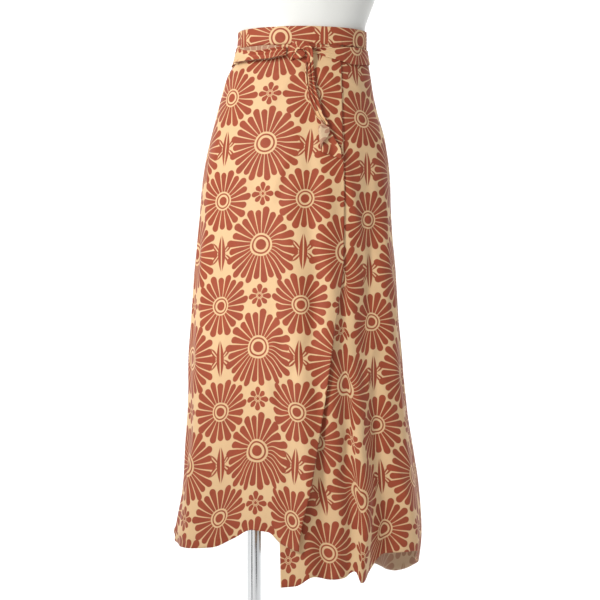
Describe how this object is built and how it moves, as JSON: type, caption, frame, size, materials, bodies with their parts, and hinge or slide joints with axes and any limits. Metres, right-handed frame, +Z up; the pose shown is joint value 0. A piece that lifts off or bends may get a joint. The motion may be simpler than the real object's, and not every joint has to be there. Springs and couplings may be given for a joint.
{
  "type": "printed wrap skirt (sarong) on a limbless dress form stand",
  "caption": "A long A-line wrap skirt in a rust and cream print, tied in a half bow, on a white limbless dress form with a chrome pole and round base.",
  "frame": {"origin": "centre of the base plate's underside, on the floor", "axes": "+Z up, the front of the skirt toward -Y, +X to the viewer's right"},
  "size_m": [0.4494, 0.4017, 1.7458],
  "materials": {
    "printed_cloth": "smooth thin woven cotton or rayon, rust print on cream",
    "form_white": "smooth white, softly glossy",
    "chrome": "polished chrome plate"
  },
  "bodies": {
    "root": {"skirt_back": "printed_cloth", "skirt_front_under": "printed_cloth", "skirt_front_over": "printed_cloth", "waistband_back": "printed_cloth", "waistband_under": "printed_cloth", "waistband_over": "printed_cloth", "tie_round_back": "printed_cloth", "tie_round_left": "printed_cloth", "tie_round_right": "printed_cloth", "tie_knot": "printed_cloth", "tie_loop": "printed_cloth", "tie_tail": "printed_cloth", "form_torso": "form_white", "form_neck_cap": "chrome", "form_socket": "chrome", "stand_pole": "chrome", "base_plate": "chrome"}
  },
  "joints": []
}
